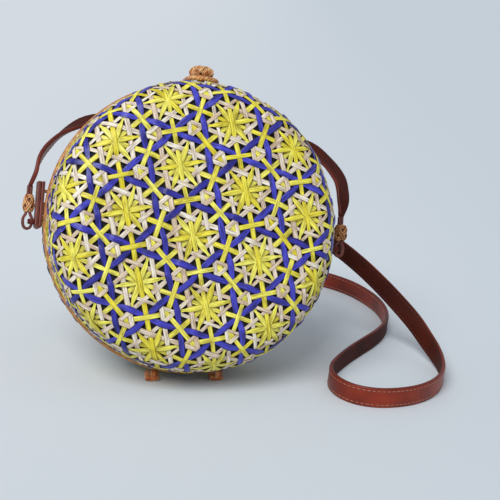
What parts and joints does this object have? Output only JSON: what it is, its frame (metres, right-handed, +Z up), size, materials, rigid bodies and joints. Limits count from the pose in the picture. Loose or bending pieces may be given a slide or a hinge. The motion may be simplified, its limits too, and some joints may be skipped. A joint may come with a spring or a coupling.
{
  "type": "round woven shoulder bag",
  "caption": "Round shoulder bag of two domed, star-woven halves over a dark lining, hinged by rattan knots, shut by a woven knob and loop, with a long leather strap.",
  "frame": {"origin": "on the ground, straight below the middle of the bag with its side fittings, as it stands", "axes": "+Z up; -Y is the way that the lid faces, towards the viewer in front; +X to that viewer's right; the bag leans back by 19 degrees about X"},
  "size_m": [0.3135, 0.291, 0.2075],
  "materials": {
    "black_cloth": "matt black cloth glued over stiff board",
    "blue_strip": "split palm strip, dyed royal blue, satin with fine grain lines",
    "cream_strip": "split palm strip, undyed cream to pinkish beige, satin",
    "yellow_strip": "split palm strip, dyed lemon yellow, satin with fine grain lines",
    "rattan": "smoked rattan, orange brown, semi-gloss",
    "leather": "reddish-brown leather with darker edges, semi-gloss"
  },
  "bodies": {
    "back": {"back_lining": "black_cloth", "back_hoop": "rattan", "back_blue_strips": "blue_strip", "back_cream_strips": "cream_strip", "back_yellow_strips": "yellow_strip", "hinge_knot_left": "rattan", "hinge_knot_right": "rattan", "loop_staple": "rattan", "side_tab_left": "leather", "side_tab_right": "leather", "strap_thong_left": "leather", "strap_thong_right": "leather", "shoulder_strap": "leather"},
    "lid": {"lid_lining": "black_cloth", "lid_hoop": "rattan", "lid_blue_strips": "blue_strip", "lid_cream_strips": "cream_strip", "lid_yellow_strips": "yellow_strip", "lid_hinge_turn_left": "rattan", "lid_hinge_turn_right": "rattan", "clasp_knob": "rattan"},
    "loop": {"clasp_loop": "rattan"},
    "bead_left": {"strap_bead_left": "rattan"},
    "bead_right": {"strap_bead_right": "rattan"}
  },
  "joints": [
    {"name": "lid_hinge", "type": "hinge", "parent": "back", "child": "lid", "pos_m": [-0.0018, -0.03344, 0.002], "axis": [1, 0, 0], "range_deg": [0, 100], "deforming": ["clasp_loop"]},
    {"name": "loop_swing", "type": "hinge", "parent": "back", "child": "loop", "pos_m": [0.0044, 0.04055, 0.19229], "axis": [-0.9981, 0.0199, 0.0577], "range_deg": [0, 110]},
    {"name": "bead_slide_left", "type": "slide", "parent": "back", "child": "bead_left", "axis": [0.061, 0.325, 0.9437], "range_m": [0, 0.005]},
    {"name": "bead_slide_right", "type": "slide", "parent": "back", "child": "bead_right", "axis": [0.061, 0.325, 0.9437], "range_m": [0, 0.005]}
  ]
}
